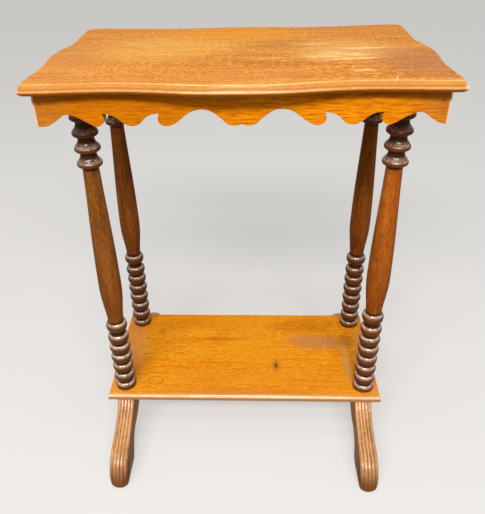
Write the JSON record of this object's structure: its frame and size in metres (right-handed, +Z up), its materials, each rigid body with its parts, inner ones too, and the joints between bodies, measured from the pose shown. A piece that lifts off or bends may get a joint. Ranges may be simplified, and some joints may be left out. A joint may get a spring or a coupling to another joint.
{
  "type": "two-tier side table",
  "caption": "Light wooden side table with a wavy-edged top on a scalloped frieze, turned bobbin legs, a low shelf and arched reeded feet.",
  "frame": {"origin": "on the floor, below the middle of the table", "axes": "+Z up, -Y towards the front of the table, +X to the right seen from the front"},
  "size_m": [0.5692, 0.4788, 0.717],
  "materials": {
    "top_wood": "varnished, light tan-orange with fine grain along the length and worn streaks",
    "frieze_wood": "varnished, warm orange with straight grain along the board",
    "shelf_wood": "varnished, orange with a glossy front edge, a ring mark and worn patches",
    "leg_wood": "stained brown under a glossy varnish",
    "foot_wood": "stained brown varnish, rubbed pale along the reeds",
    "inner_wood": "bare, unvarnished",
    "screw_steel": "dull steel",
    "nail_steel": "dark iron"
  },
  "bodies": {
    "root": {"top_board": "top_wood", "front_frieze": "frieze_wood", "back_frieze": "frieze_wood", "left_frieze": "frieze_wood", "right_frieze": "frieze_wood", "front_left_leg": "leg_wood", "front_right_leg": "leg_wood", "back_left_leg": "leg_wood", "back_right_leg": "leg_wood", "left_cleat": "inner_wood", "right_cleat": "inner_wood", "shelf_board": "shelf_wood", "left_foot": "foot_wood", "right_foot": "foot_wood", "front_left_glue_block": "inner_wood", "front_right_glue_block": "inner_wood", "back_left_glue_block": "inner_wood", "back_right_glue_block": "inner_wood", "front_left_nail": "nail_steel", "front_right_nail": "nail_steel", "back_left_nail": "nail_steel", "back_right_nail": "nail_steel", "left_cleat_screw_front": "screw_steel", "left_cleat_screw_middle": "screw_steel", "left_cleat_screw_back": "screw_steel", "right_cleat_screw_front": "screw_steel", "right_cleat_screw_middle": "screw_steel", "right_cleat_screw_back": "screw_steel"}
  },
  "joints": []
}
